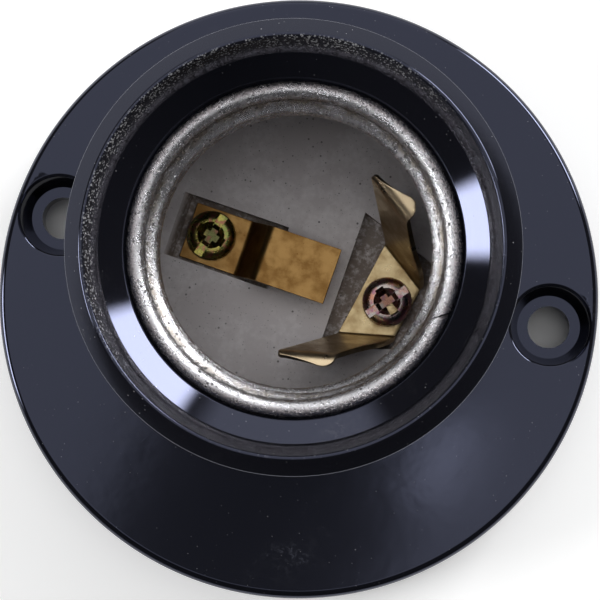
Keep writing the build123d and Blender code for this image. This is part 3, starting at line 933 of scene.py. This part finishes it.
def buildPanelGroup():
    # how much a direction falls inside a rectangular panel of sky
    inputs = [("Direction", vectorSocket, None), ("Facing", vectorSocket, (0, 0, 1)),
              ("Across", vectorSocket, (1, 0, 0)), ("Up", vectorSocket, (0, 1, 0)),
              ("Half width", floatSocket, 0.5), ("Half height", floatSocket, 0.5),
              ("Softness", floatSocket, 0.1)]
    group, given, out = newGroup("skyPanel", inputs, ["Mask"])

    def dot(other):
        return vector2(group, "DOT_PRODUCT", given["Direction"], other, "Value")

    behind = 0.02
    ahead = dot(given["Facing"])
    masks = math2(group, "GREATER_THAN", ahead, behind)
    safe = math2(group, "MAXIMUM", ahead, behind)
    for direction, half in ((given["Across"], given["Half width"]), (given["Up"], given["Half height"])):
        slide = math2(group, "ABSOLUTE", math2(group, "DIVIDE", dot(direction), safe))
        outer = math2(group, "ADD", half, given["Softness"])
        masks = math2(group, "MULTIPLY", masks, ramp(group, slide, outer, half))
    group.links.new(masks, out["Mask"])
    return group


# The panels: where each stands, the azimuth of its width, half sizes and softness as slopes, and strength.
# The ceiling, its dark patch and the streak in it, two side lights and a weak one above.
panels = [
    {"towards": (-0.10, 0.40, 1), "turnDeg": 13, "width": 0.62, "height": 0.60, "soft": 0.15,
     "strength": 1.0},
    {"towards": (-0.029, -0.024, 1), "turnDeg": -14, "width": 0.036, "height": 0.05, "soft": 0.006,
     "strength": -0.92},
    {"towards": (0.0148, 0.0006, 1), "turnDeg": -14, "width": 0.003, "height": 0.010, "soft": 0.005,
     "strength": 3.5},
    {"towards": (-0.885, -0.288, 0.365), "turnDeg": 108, "width": 0.13, "height": 0.08, "soft": 0.10,
     "strength": 19.0},
    {"towards": (0.557, 0.747, 0.365), "turnDeg": 143, "width": 0.24, "height": 0.08, "soft": 0.10,
     "strength": 19.0},
    {"towards": (-0.210, 0.907, 0.365), "turnDeg": 13, "width": 0.35, "height": 0.10, "soft": 0.20,
     "strength": 1.3},
]


def buildSky():
    world = bpy.data.worlds.new("studioSky")
    bpy.context.scene.world = world
    world.use_nodes = True
    tree = world.node_tree
    background = tree.nodes["Background"]
    direction = put(tree, "ShaderNodeTexCoord").outputs["Generated"]
    effects["skyPanel"] = buildPanelGroup()
    total = studio["lowSky"]
    for panel in panels:
        facing = Vector(panel["towards"]).normalized()
        turn = math.radians(panel["turnDeg"])
        across = Vector((math.cos(turn), math.sin(turn), 0))
        across = (across - facing * across.dot(facing)).normalized()
        mask = effect(tree, "skyPanel", Direction=direction, Facing=facing, Across=across,
                      Up=facing.cross(across), Half_width=panel["width"], Half_height=panel["height"],
                      Softness=panel["soft"])["Mask"]
        total = math2(tree, "ADD", total, math2(tree, "MULTIPLY", mask, panel["strength"]))
    # the pale backdrop: plain to the camera, and low along the horizon to polished surfaces
    straight, mirrored = raysTo(tree)
    low = ramp(tree, heightOf(tree, direction), studio["horizon"] * 2, studio["horizon"])
    looked = math2(tree, "MAXIMUM", straight, math2(tree, "MULTIPLY", mirrored, low))
    paleness = math2(tree, "MAXIMUM", math2(tree, "MULTIPLY", looked, studio["backdrop"]), studio["leastSky"])
    tree.links.new(math2(tree, "MAXIMUM", total, paleness), background.inputs["Strength"])
    background.inputs["Color"].default_value = (1, 1, 1, 1)


cameraSizes = {"place": (12.09, -12.80, 380.8), "lookAt": (0.22, -0.15, 8.0), "rollDeg": 12.71,
               "angleDeg": 9.126}


def buildCamera():
    s = cameraSizes
    camera = bpy.data.objects.new("camera", bpy.data.cameras.new("camera"))
    bpy.context.scene.collection.objects.link(camera)
    place, target = Vector(s["place"]) * mm, Vector(s["lookAt"]) * mm
    back = (place - target).normalized()
    roll = math.radians(s["rollDeg"])
    up = Vector((-math.sin(roll), math.cos(roll), 0))
    right = up.cross(back).normalized()
    up = back.cross(right)
    camera.matrix_world = Matrix.Translation(place) @ Matrix((right, up, back)).transposed().to_4x4()
    camera.data.angle = math.radians(s["angleDeg"])
    camera.data.clip_start = 0.01
    bpy.context.scene.camera = camera


buildFloor()
buildSky()
buildCamera()
bpy.context.scene.view_settings.view_transform = "Standard"
print("studio built")
